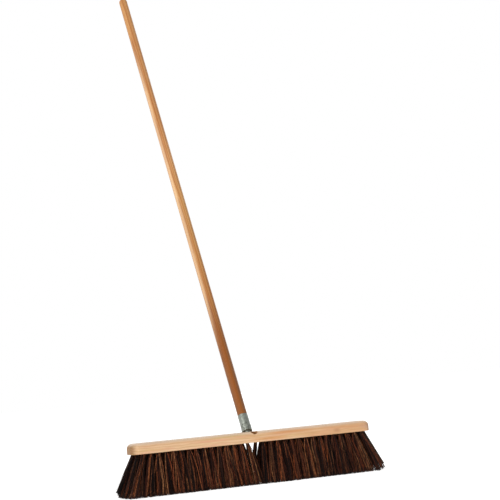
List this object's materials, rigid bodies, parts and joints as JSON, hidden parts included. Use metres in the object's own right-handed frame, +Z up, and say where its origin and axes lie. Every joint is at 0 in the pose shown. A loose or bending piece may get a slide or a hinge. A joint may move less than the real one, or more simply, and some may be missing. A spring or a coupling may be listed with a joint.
{
  "type": "push broom",
  "caption": "Wooden push broom with a long round handle that screws into one of two angled sockets above rows of dark bristle tufts.",
  "frame": {"origin": "under the middle of the block, on the plane of the bristle tips", "axes": "+X along the block, +Y the way the handle leans, +Z up"},
  "size_m": [0.6932, 0.8368, 1.4281],
  "materials": {
    "block_wood": "clear satin lacquer",
    "handle_wood": "clear satin lacquer",
    "tip_metal": "dull zinc, mottled",
    "bristle": "mixed dark brown fibre",
    "anchor_wire": "flat galvanised wire",
    "nail_steel": "bright wire nail"
  },
  "bodies": {
    "head": {"block": "block_wood", "tufts_row_1_left": "bristle", "tufts_row_1_right": "bristle", "tufts_row_2_left": "bristle", "tufts_row_2_right": "bristle", "tufts_row_3_left": "bristle", "tufts_row_3_right": "bristle", "tufts_row_4_left": "bristle", "tufts_row_4_right": "bristle", "tufts_row_5_left": "bristle", "tufts_row_5_right": "bristle", "anchors_row_1_left": "anchor_wire", "anchors_row_1_right": "anchor_wire", "anchors_row_2_left": "anchor_wire", "anchors_row_2_right": "anchor_wire", "anchors_row_3_left": "anchor_wire", "anchors_row_3_right": "anchor_wire", "anchors_row_4_left": "anchor_wire", "anchors_row_4_right": "anchor_wire", "anchors_row_5_left": "anchor_wire", "anchors_row_5_right": "anchor_wire"},
    "tip_nail": {"tip_nail": "nail_steel"},
    "handle": {"handle_rod": "handle_wood", "threaded_tip": "tip_metal"}
  },
  "joints": [
    {"name": "handle_travel", "type": "slide", "parent": "head", "child": "tip_nail", "axis": [0, 0.5, 0.866], "range_m": [0, 0.0229]},
    {"name": "handle_turn", "type": "hinge", "parent": "tip_nail", "child": "handle", "pos_m": [0, 0.0225, 0.1234], "axis": [0, 0.5, 0.866], "range_deg": [0, 1620]}
  ],
  "couplings": [
    {"joint": "handle_travel", "follows": "handle_turn", "m_per_rad": 0.00080851}
  ]
}
